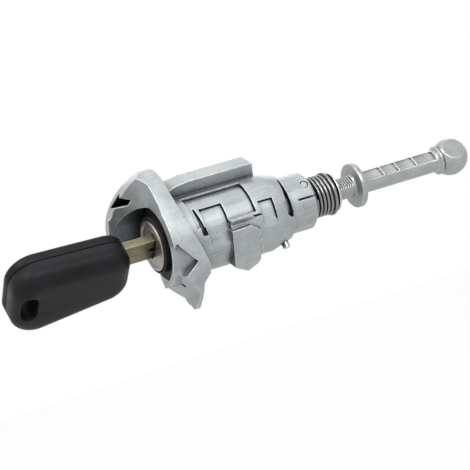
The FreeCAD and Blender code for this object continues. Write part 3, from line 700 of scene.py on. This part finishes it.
def lugLip(shape):
    lip = asObject("lip", lugBlock(shape, shape["lip"]))
    bevel = blockMesh((0, far), (behind(-far), behind(2 * far)), (0, far))
    edge = Matrix.Translation((-shape["lipFlat"], 0, shape["face"]))
    carve(lip, [asObject("lipBevel", bevel, edge @ leaned(shape["lipBevel"]))])
    lip.data.transform(leaned(shape["lipLean"]))
    return lip


pocketShape = {
    "upper": [(-3.8, 18.6), (0.2, 15.3), (-1.8, 14.1), (-9.0, 15.0)],
    "upperFloor": 1.0,
    "earHole": (2.2, -14.3, 1.0, 6.5),  # x, z, radius and floor
    "drain": (-4.4, -12.3, 1.8, 6.0),
    "holeSteps": 24,
    "recess": [(15.7, 2.3, -1.9), (14.1, 8.0, -8.7), (10.1, 1.2, -8.0)],  # x, behind the face, z
    "recessSteps": (1.7, 1.5, 0.2),  # how deep each of these corners is sunk
    "recessHeight": 8.0,
    "neckPin": (1.4, 52.3, 58.0),  # radius, place and lean
    "stopPin": (1.25, 42.2, 165.0),
    "pinReach": 20.0,
    "slit": ((48.1, 55.8), 0.35, 87.0),
    "waferRoom": (3.5, (6.8, 29.1), 8.8),
}


def mouthRecess(shape):  # a three-cornered hollow that slopes into the flange
    top, rear, front = [Vector((x, behind(y), z)) for x, y, z in shape["recess"]]
    out = (rear - top).cross(front - top).normalized()
    if out.x < 0:
        out = -out
    top, rear, front = [corner - out * step
                        for corner, step in zip((top, rear, front), shape["recessSteps"])]
    slope = (front - (top + rear) * 0.5) * 2
    hollow = prismMesh([top, rear, rear + slope, top + slope], out * shape["recessHeight"])
    return asObject("recessCutter", hollow)


def boreCutters(shape, panels, pockets):
    front = -shape["hoodReach"] - 2 * spare
    inside = shape["bore"] - spare
    outer, inner = panels["clipGroove"]
    cutters = [axisRod(shape["mouth"], front, shape["mouthFloor"]),
               axisRod(shape["capSeat"], 0, shape["capDepth"]),
               axisRod(shape["bore"], 0, shape["neckEnd"] + spare),
               taperedSlot(shape["barrel"] + 2 * spare, inner, panels["clipSlot"]),
               axisRod(outer, *panels["clipSpan"]),
               crossPrism(pockets["upper"], front, pockets["upperFloor"])]
    for x, z, radius, floor in (pockets["earHole"], pockets["drain"]):
        rim = [(x + a, z + b) for a, b in circlePoints(radius, pockets["holeSteps"])]
        cutters.append(crossPrism(rim, front, floor))
    made = [asObject("boreCutter", cutter) for cutter in cutters]
    made.append(mouthRecess(pockets))
    for radius, station, lean in (pockets["neckPin"], pockets["stopPin"]):
        made.append(radialRod(radius, station, lean, inside, pockets["pinReach"]))
    span, half, lean = pockets["slit"]
    slit = blockMesh((-half, half), [behind(y) for y in span], (inside, shape["neck"] + spare))
    made.append(asObject("slitCutter", slit, leaned(lean)))
    half, span, reach = pockets["waferRoom"]
    room = blockMesh((-half, half), [behind(y) for y in span], (-reach, reach))
    made.append(asObject("waferRoom", room, leaned(keyLean)))
    return made


def makeHousing(shape):
    barrel = shape["barrel"]
    profile = [(shape["barrelStart"], barrel), (shape["taperStart"], barrel),
               (shape["shoulder"], shape["rear"]), (shape["shoulder"], shape["neck"]),
               (shape["neckStraight"], shape["neck"]), (shape["neckEnd"], shape["neckTip"])]
    housing = asObject("lockHousing", latheMesh([(behind(y), r) for y, r in profile], shape["steps"]))
    back = max(y for y, z in shape["flangeBack"]) + 2 * spare
    plate = asObject("flange", crossPrism(flangeLeaf(shape), -shape["hoodReach"], back))
    side = sidePrism(flangeSide(shape), shape["halfWidth"] + 2 * spare)
    carve(plate, [asObject("flangeSide", side)], "INTERSECT")
    soften(plate, shape["browEdge"], segments=5, angle=50.0)
    wall = axisRod(shape["mouth"] + shape["hoodWall"], -shape["hoodReach"], shape["mouthWallEnd"])
    carve(housing, [asObject("mouthWall", wall), plate, guideRib(ribShape)], "UNION")
    carve(housing, hoodCutters(shape) + sidePanels(panelShape, barrel))
    carve(housing, panelLines(panelShape, barrel))
    carve(housing, [barrelLug(lugShape), lugLip(lugShape)], "UNION")
    carve(housing, boreCutters(shape, panelShape, pocketShape))
    soften(housing, shape["edge"], segments=2, angle=32.0)
    place(housing, "housing", castZinc, ["housing"])


makeHousing(housingShape)
print("housing made")


# Cap and seal: a pressed steel cap in a rubber ring whose lip stands round it

def turnedRing(profile, steps):  # a closed profile of (behind the face, radius) carried round the axis
    bm = bmesh.new()
    rings = []
    for up, across in circlePoints(1.0, steps):
        rings.append([bm.verts.new((r * across, behind(y), r * up)) for y, r in profile])
    for i, here in enumerate(rings):
        there = rings[(i + 1) % steps]
        for k in range(len(profile)):
            j = (k + 1) % len(profile)
            bm.faces.new((here[k], here[j], there[j], there[k]))
    return bm


capShape = {
    "radius": 8.1,
    "depth": 4.6,
    "sheet": 0.2,
    "dish": 0.35,  # the middle lies this far behind the rim
    "back": 0.9,
    "rimWidth": 1.2,
    "rimRise": [(0.35, -0.3), (0.1, 0.0), (0.0, 0.2)],  # behind the face, and out from the rim's inside
    "round": 0.45,
    "roundSteps": 5,
    "middle": 0.01,
    "slotWide": 4.8,
    "slotThick": 1.75,
    "steps": 96,
}


def makeCap(shape):
    outer, edge, depth = shape["radius"], shape["round"], shape["depth"]
    profile = [(shape["dish"], shape["middle"])]
    profile += [(y, outer - shape["rimWidth"] + out) for y, out in shape["rimRise"]]
    for k in range(shape["roundSteps"] + 1):
        angle = math.pi / 2 * k / shape["roundSteps"]
        profile.append((edge * (1 - math.cos(angle)), outer - edge + edge * math.sin(angle)))
    inner = outer - shape["sheet"]
    profile += [(depth, outer), (depth, inner), (shape["back"], inner), (shape["back"], shape["middle"])]
    cap = asObject("plugCap", latheMesh([(behind(y), r) for y, r in profile], shape["steps"]))
    slot = blockMesh((-shape["slotThick"], shape["slotThick"]), (behind(-spare), behind(depth + spare)),
                     (-shape["slotWide"], shape["slotWide"]))
    carve(cap, [asObject("slotCutter", slot, leaned(keyLean))])
    place(cap, "core", capSteel, ["plug_cap"])


sealShape = {
    "outer": 12.1,
    "inner": 8.4,
    "lip": 9.0,
    "lipFront": 0.5,
    "lipEdge": 0.2,
    "ring": 3.1,
    "ringEdge": 0.3,
    "floor": 5.0,
    "steps": 96,
}


def makeSeal(shape):
    inner, lip, outer = shape["inner"], shape["lip"], shape["outer"]
    front, ring, edge, ringEdge = shape["lipFront"], shape["ring"], shape["lipEdge"], shape["ringEdge"]
    profile = [(shape["floor"], inner), (front + edge, inner), (front, inner + edge), (front, lip - edge),
               (front + edge, lip), (ring, lip), (ring, outer - ringEdge), (ring + ringEdge, outer),
               (shape["floor"], outer)]
    seal = asObject("faceSeal", turnedRing(profile, shape["steps"]))
    place(seal, "housing", sealRubber, ["face_seal"])


makeCap(capShape)
makeSeal(sealShape)
print("cap and seal made")


# Key head: two moulded shells that meet at a seam

headShape = {
    "bladeGap": 9.5,  # from the cap's face to the head
    "length": 38.7,
    "ringWidth": 29.4,
    "bladeWidth": 20.4,
    "ringOffset": -3.5,  # the head's middle lies below the blade's
    "bladeOffset": -1.3,
    "ringCorner": 8.6,
    "bladeCorner": 7.6,
    "cornerSteps": 18,
    "sideSteps": 10,
    "seam": 0.5,  # the seam's offset from the blade's middle
    "seamGap": 0.02,
    "seamBreak": 0.3,
    "crownSteps": 9,
    "crownShare": 0.82,  # how far the rounding reaches down, as a share of its width
    "holeEdge": 0.35,
}
headShells = {
    "keyHeadFront": {"node": "key_head_front", "thick": 7.6, "round": 5.4, "outward": 1},
    "keyHeadBack": {"node": "key_head_back", "thick": 3.6, "round": 1.6, "outward": -1},
}


def headLoop(inset, height):  # the head's outline, drawn in by an inset, at one height over the blade
    bladeY = capY - headShape["bladeGap"]
    ringY = bladeY - headShape["length"]
    ringLow = headShape["ringOffset"] - headShape["ringWidth"] / 2
    bladeLow = headShape["bladeOffset"] - headShape["bladeWidth"] / 2
    corners = [(Vector((ringY, ringLow)), headShape["ringCorner"]),
               (Vector((bladeY, bladeLow)), headShape["bladeCorner"]),
               (Vector((bladeY, bladeLow + headShape["bladeWidth"])), headShape["bladeCorner"]),
               (Vector((ringY, ringLow + headShape["ringWidth"])), headShape["ringCorner"])]
    arcs = []
    for i, (corner, radius) in enumerate(corners):
        before = (corners[i - 1][0] - corner).normalized()
        after = (corners[(i + 1) % 4][0] - corner).normalized()
        half = before.angle(after) / 2
        centre = corner + (before + after).normalized() * (radius / math.sin(half))
        touch = corner + before * (radius / math.tan(half))
        start = centre + (touch - centre).normalized() * (radius - inset)
        sweep = math.pi - 2 * half
        turns = [Matrix.Rotation(sweep * k / headShape["cornerSteps"], 2)
                 for k in range(headShape["cornerSteps"] + 1)]
        arcs.append([centre + turn @ (start - centre) for turn in turns])
    loop = []
    for i, points in enumerate(arcs):
        loop.extend(points)
        following = arcs[(i + 1) % 4][0]
        for k in range(1, headShape["sideSteps"]):
            loop.append(points[-1].lerp(following, k / headShape["sideSteps"]))
    return [Vector((height, p.x, p.y)) for p in loop]


def headShellMesh(thick, edge, outward):  # outward is +1 for the front shell and -1 for the back one
    base = headShape["seam"] + outward * headShape["seamGap"]
    rings = [headLoop(headShape["seamBreak"], base), headLoop(0.0, base + outward * headShape["seamBreak"])]
    rise = thick - edge * headShape["crownShare"]
    for k in range(1, headShape["crownSteps"] + 1):
        angle = math.pi / 2 * k / headShape["crownSteps"]
        height = rise + (thick - rise) * math.sin(angle)
        rings.append(headLoop(edge * (1 - math.cos(angle)), base + outward * height))
    return looped(rings)


ringHole = {"inset": 4.6, "offset": -2.4, "width": 10.6, "length": 5.2, "steps": 14, "through": 12.0}


def ringHoleMesh():
    y = capY - headShape["bladeGap"] - headShape["length"] + ringHole["inset"]
    radius = ringHole["length"] / 2
    straight = (ringHole["width"] - ringHole["length"]) / 2
    points = []
    for side in (1, -1):
        for k in range(ringHole["steps"] + 1):
            angle = math.pi * k / ringHole["steps"]
            points.append((y + side * radius * math.cos(angle),
                           ringHole["offset"] + side * (straight + radius * math.sin(angle))))
    through = ringHole["through"]
    return looped([[(x, along, wide) for along, wide in points] for x in (-through, through)])


bladeRoom = {"root": 17.05, "halfThick": 1.4, "halfWide": 4.45}  # the cavity for the blade's root
chipGap = 0.05


def chipRoom():  # the chip's own box, grown by a gap
    corners = [leaned(-keyLean) @ (vertex.co / mm) for vertex in bodyNodes["transponder"].data.vertices]
    return blockMesh(*[(min(c[k] for c in corners) - chipGap, max(c[k] for c in corners) + chipGap)
                       for k in range(3)])


def headRooms():  # the hole for a ring, and the room for the blade's root and the chip
    front = capY - headShape["bladeGap"]
    thick, wide = bladeRoom["halfThick"], bladeRoom["halfWide"]
    root = blockMesh((-thick, thick), (front - bladeRoom["root"], front + 2 * spare), (-wide, wide))
    return [asObject("ringCutter", ringHoleMesh()), asObject("rootCutter", root),
            asObject("chipCutter", chipRoom())]


def makeHeadShell(name, shell):
    made = asObject(name, headShellMesh(shell["thick"], shell["round"], shell["outward"]))
    carve(made, headRooms())
    soften(made, headShape["holeEdge"], angle=50.0)
    made.data.transform(leaned(keyLean))
    place(made, "key", headPlastic, [shell["node"]], sharpAngle=50.0)


for shellName, shellValues in headShells.items():
    makeHeadShell(shellName, shellValues)
print("key head made")


# Return spring: round wire wound on the hub's boss

springShape = {
    "wire": 0.55,
    "radius": 6.2,
    "turns": 5.5,
    "firstAngle": 100.0,
    "lastWider": 0.7,  # the last coils open out by this much
    "lastStart": 0.7,  # from this share of the length on
    "stepsPerTurn": 48,
    "sides": 12,
}


def springPoints(shape):
    low, high = nodeBox("return_spring")
    start, end = low.y + shape["wire"], high.y - shape["wire"]
    total = int(shape["turns"] * shape["stepsPerTurn"])
    points = []
    for i in range(total + 1):
        share = i / total
        angle = 2 * math.pi * shape["turns"] * share + math.radians(shape["firstAngle"])
        opened = max(0.0, (share - shape["lastStart"]) / (1 - shape["lastStart"]))
        radius = shape["radius"] + shape["lastWider"] * opened
        y = start + (end - start) * share
        points.append(Vector((radius * math.sin(angle), y, radius * math.cos(angle))))
    return points


springWire = sweptMesh(springPoints(springShape), springShape["wire"], springShape["sides"])
spring = asObject("returnSpring", springWire)
place(spring, "housing", springSteel, ["return_spring"], sharpAngle=40.0)
print("spring made")


# Drive rod: turned round, with a channel, ribs and fine cross cuts

rodShape = {
    "radius": 3.5,
    "collarRadius": 7.3,
    "collarThick": 1.9,
    "collarFront": 27.0,  # from the barrel's shoulder
    "collarRound": 0.35,
    "foot": 0.9,  # the fillet where the rod meets its collar
    "roundMiddle": 0.3,  # where a rounding's middle point lies, as a share of its radius
    "ballFromCollar": 37.4,
    "ballRadius": 6.1,
    "ballTip": 0.9,  # radius of the small flat at the ball's far end
    "ballSteps": 32,
    "flatDepth": 1.3,
    "flatStart": 5.5,  # in front of the ball's centre
    "flatLean": 62.0,
    "ridgeInset": 0.6,
    "ridge": [(-0.5, 3.5), (0.0, 4.3), (0.25, 4.7), (0.75, 4.7), (1.1, 4.0)],  # along the rod, and radius
    "lean": 45.0,
    "channelWidth": 4.4,
    "channelFloor": 2.2,
    "channelTop": 3.0,
    "channelStart": 4.1,
    "channelEnd": 1.2,
    "pocketClear": 0.5,  # this and the cuts' clear: how far a cutter stands out of the rod
    "ribs": (11.0, 16.7, 23.4),
    "ribWidth": 0.8,
    "cutFlat": 2.7,
    "cutFlatLength": 6.8,
    "cutPitch": 0.85,
    "cutDepth": 0.35,
    "cutClear": 0.8,
    "cuts": 6,
    "steps": 96,
    "edge": 0.12,
}


def ballPlace(shape):
    return shape["collarFront"] + shape["ballFromCollar"]


def ridgePlace(shape):
    return ballPlace(shape) - shape["ballRadius"] + shape["ridgeInset"]


def rodProfile(shape):  # (y, radius) from the hub's end to the ball's tip
    radius, collar = shape["radius"], shape["collarRadius"]
    front = shape["collarFront"]
    back = front + shape["collarThick"]
    edge, foot = shape["collarRound"], shape["foot"]
    edgeMiddle, footMiddle = edge * shape["roundMiddle"], foot * shape["roundMiddle"]
    profile = [(nodeBox("drive_rod")[0].y, radius), (front - foot, radius),
               (front - footMiddle, radius + footMiddle), (front, radius + foot), (front, collar - edge),
               (front + edgeMiddle, collar - edgeMiddle), (front + edge, collar), (back - edge, collar),
               (back - edgeMiddle, collar - edgeMiddle), (back, collar - edge), (back, radius + foot),
               (back + footMiddle, radius + footMiddle), (back + foot, radius)]
    profile += [(ridgePlace(shape) + along, around) for along, around in shape["ridge"]]
    centre, ball = ballPlace(shape), shape["ballRadius"]
    start = math.acos((centre - profile[-1][0]) / ball)
    end = math.pi - math.asin(shape["ballTip"] / ball)
    for i in range(shape["ballSteps"] + 1):
        angle = start + (end - start) * i / shape["ballSteps"]
        profile.append((centre - ball * math.cos(angle), ball * math.sin(angle)))
    return profile


def channelCutters(shape):
    start = shape["collarFront"] + shape["channelStart"]
    end = ridgePlace(shape) - shape["channelEnd"]
    half, radius = shape["channelWidth"] / 2, shape["radius"]
    stops = [start]
    for rib in shape["ribs"]:
        middle = shape["collarFront"] + rib
        stops += [middle - shape["ribWidth"] / 2, middle + shape["ribWidth"] / 2]
    stops.append(end)
    blocks = [blockMesh((-half, half), (start, end), (shape["channelTop"], radius + spare))]
    pocket = (shape["channelFloor"], radius + shape["pocketClear"])
    for low, high in zip(stops[0::2], stops[1::2]):
        blocks.append(blockMesh((-half, half), (low, high), pocket))
    return blocks


def crossCutters(shape):  # the flat in front of the collar, and the fine cuts across it
    end = shape["collarFront"] - shape["cutPitch"]
    outer = shape["radius"] + spare
    depth = (shape["cutFlat"] - shape["cutDepth"], shape["radius"] + shape["cutClear"])
    blocks = [blockMesh((-outer, outer), (end - shape["cutFlatLength"], end), (shape["cutFlat"], outer))]
    for i in range(shape["cuts"]):
        y = end - (i + 1) * shape["cutPitch"]
        blocks.append(blockMesh((-outer, outer), (y, y + shape["cutPitch"] / 2), depth))
    return blocks


def makeDriveRod(shape):
    rod = asObject("driveRod", latheMesh(rodProfile(shape), shape["steps"]))
    turn = leaned(shape["lean"])
    cutters = [asObject("rodCutter", block, turn) for block in channelCutters(shape) + crossCutters(shape)]
    reach = shape["ballRadius"] + spare
    length = (ballPlace(shape) - shape["flatStart"], ballPlace(shape) + reach)
    flat = blockMesh((-reach, reach), length, (shape["ballRadius"] - shape["flatDepth"], reach))
    cutters.append(asObject("ballFlat", flat, leaned(shape["flatLean"])))
    carve(rod, cutters)
    soften(rod, shape["edge"], segments=2, angle=45.0)
    place(rod, "core", rodZinc, ["drive_rod"])


makeDriveRod(rodShape)
print("drive rod made")


# The other nodes keep the shape of their solids and get their finish

finishes = {
    "drive_hub": castZinc,
    "plug": castZinc,
    "key_blade": bladeBrass,
    "transponder": chipBlock,
    "wafer_springs": springSteel,
}
for nodeName, made in bodyNodes.items():
    finish = finishes.get(nodeName, waferBrass if nodeName.startswith("wafer") else plainSteel)
    made.data.materials.clear()
    made.data.materials.append(finish)
print("finishes given")


# Camera, light and floor

cameraSet = {
    "framePixels": 470.0,
    "focalPixels": 1950.0,
    "azimuth": 67.0,
    "roll": 16.9,
    "capPixel": (151.1, 246.3),  # where the cap's centre shows in the photograph
    "capDepth": 600.0,
    "sensor": 36.0,
    "nearClip": 0.01,
}


def makeCamera():
    azimuth = math.radians(cameraSet["azimuth"])
    view = Vector((-math.sin(azimuth), math.cos(azimuth), 0))
    level = Vector((math.cos(azimuth), math.sin(azimuth), 0))
    upright = level.cross(view)
    roll = math.radians(cameraSet["roll"])
    right = level * math.cos(roll) - upright * math.sin(roll)
    up = level * math.sin(roll) + upright * math.cos(roll)
    middle = cameraSet["framePixels"] / 2
    across = (cameraSet["capPixel"][0] - middle) / cameraSet["focalPixels"]
    down = (cameraSet["capPixel"][1] - middle) / cameraSet["focalPixels"]
    spot = Vector((0, capY, 0)) - cameraSet["capDepth"] * (view + across * right - down * up)
    data = bpy.data.cameras.new("photoCamera")
    data.sensor_width = cameraSet["sensor"]
    data.lens = cameraSet["sensor"] * cameraSet["focalPixels"] / cameraSet["framePixels"]
    data.clip_start = cameraSet["nearClip"]
    camera = bpy.data.objects.new("photoCamera", data)
    turn = Matrix((right, up, -view)).transposed().to_4x4()
    camera.matrix_world = Matrix.Translation(spot * mm) @ turn
    bpy.context.scene.collection.objects.link(camera)
    bpy.context.scene.camera = camera


makeCamera()

lampSet = {
    "key": {"place": (0.84, 0.02, 0.46), "size": 0.45, "power": 5.1},
    "front": {"place": (0.30, -0.55, 0.66), "size": 0.4, "power": 3.8},
    "top": {"place": (0.05, 0.10, 0.85), "size": 0.6, "power": 1.2},
    "rear": {"place": (-0.55, 0.30, 0.25), "size": 0.5, "power": 1.0},
}


def makeLamp(name, values):
    data = bpy.data.lights.new(name, "AREA")
    data.size = values["size"]
    data.energy = values["power"]
    lamp = bpy.data.objects.new(name, data)
    lamp.location = values["place"]
    lamp.rotation_euler = (-Vector(values["place"])).to_track_quat("-Z", "Y").to_euler()
    bpy.context.scene.collection.objects.link(lamp)


for lampName, lampValues in lampSet.items():
    makeLamp(lampName, lampValues)


def seenWhite(tree):  # 1 for rays that show the background
    rays = put(tree, "ShaderNodeLightPath").outputs
    seen = math2(tree, "MAXIMUM", rays["Is Camera Ray"], rays["Is Glossy Ray"])
    return math2(tree, "MAXIMUM", seen, rays["Is Transmission Ray"])


roomLight = 0.07  # how bright the room round the lamps is on the part
pureWhite = (1.0, 1.0, 1.0, 1.0)


def makeWorld():
    world = bpy.data.worlds.new("studio")
    world.use_nodes = True
    tree = world.node_tree
    tree.nodes.clear()
    dim = put(tree, "ShaderNodeBackground", {"Color": pureWhite, "Strength": roomLight})
    white = put(tree, "ShaderNodeBackground", {"Color": pureWhite, "Strength": 1.0})
    both = put(tree, "ShaderNodeMixShader", {0: seenWhite(tree), 1: dim.outputs[0], 2: white.outputs[0]})
    put(tree, "ShaderNodeOutputWorld", {"Surface": both.outputs[0]})
    bpy.context.scene.world = world


makeWorld()

floorSet = {
    "size": 3.0,
    "drop": 0.1,
    "colour": (0.72, 0.72, 0.72),
    "paleColour": (0.76, 0.76, 0.76),
    "grainScale": 300.0,
    "patchScale": 4.0,
    "whiteShare": 0.98,
}


def makeFloor():
    half = floorSet["size"] / 2
    level = cadBounds[0][2] - floorSet["drop"]
    bm = bmesh.new()
    corners = [(-half, -half), (half, -half), (half, half), (-half, half)]
    bm.faces.new([bm.verts.new((x, y, level)) for x, y in corners])
    mesh = bpy.data.meshes.new("floor")
    bm.to_mesh(mesh)
    bm.free()
    floor = bpy.data.objects.new("floor", mesh)
    bpy.context.scene.collection.objects.link(floor)
    material, tree, where = startMaterial("floorPaper")
    grain = wired(tree, surfaceGrain, {"Vector": where, "Grain Scale": floorSet["grainScale"],
                                       "Patch Scale": floorSet["patchScale"]})
    tone = mixed(tree, grain["Patches"], rgba(floorSet["colour"]), rgba(floorSet["paleColour"]))
    paper = put(tree, "ShaderNodeBsdfDiffuse", {"Color": tone})
    glow = put(tree, "ShaderNodeEmission", {"Color": pureWhite, "Strength": 1.0})
    share = math2(tree, "MULTIPLY", seenWhite(tree), floorSet["whiteShare"])
    both = put(tree, "ShaderNodeMixShader", {0: share, 1: paper.outputs[0], 2: glow.outputs[0]})
    put(tree, "ShaderNodeOutputMaterial", {"Surface": both.outputs[0]})
    mesh.materials.append(material)


makeFloor()
bpy.context.scene.view_settings.view_transform = "Standard"
print("stage made")
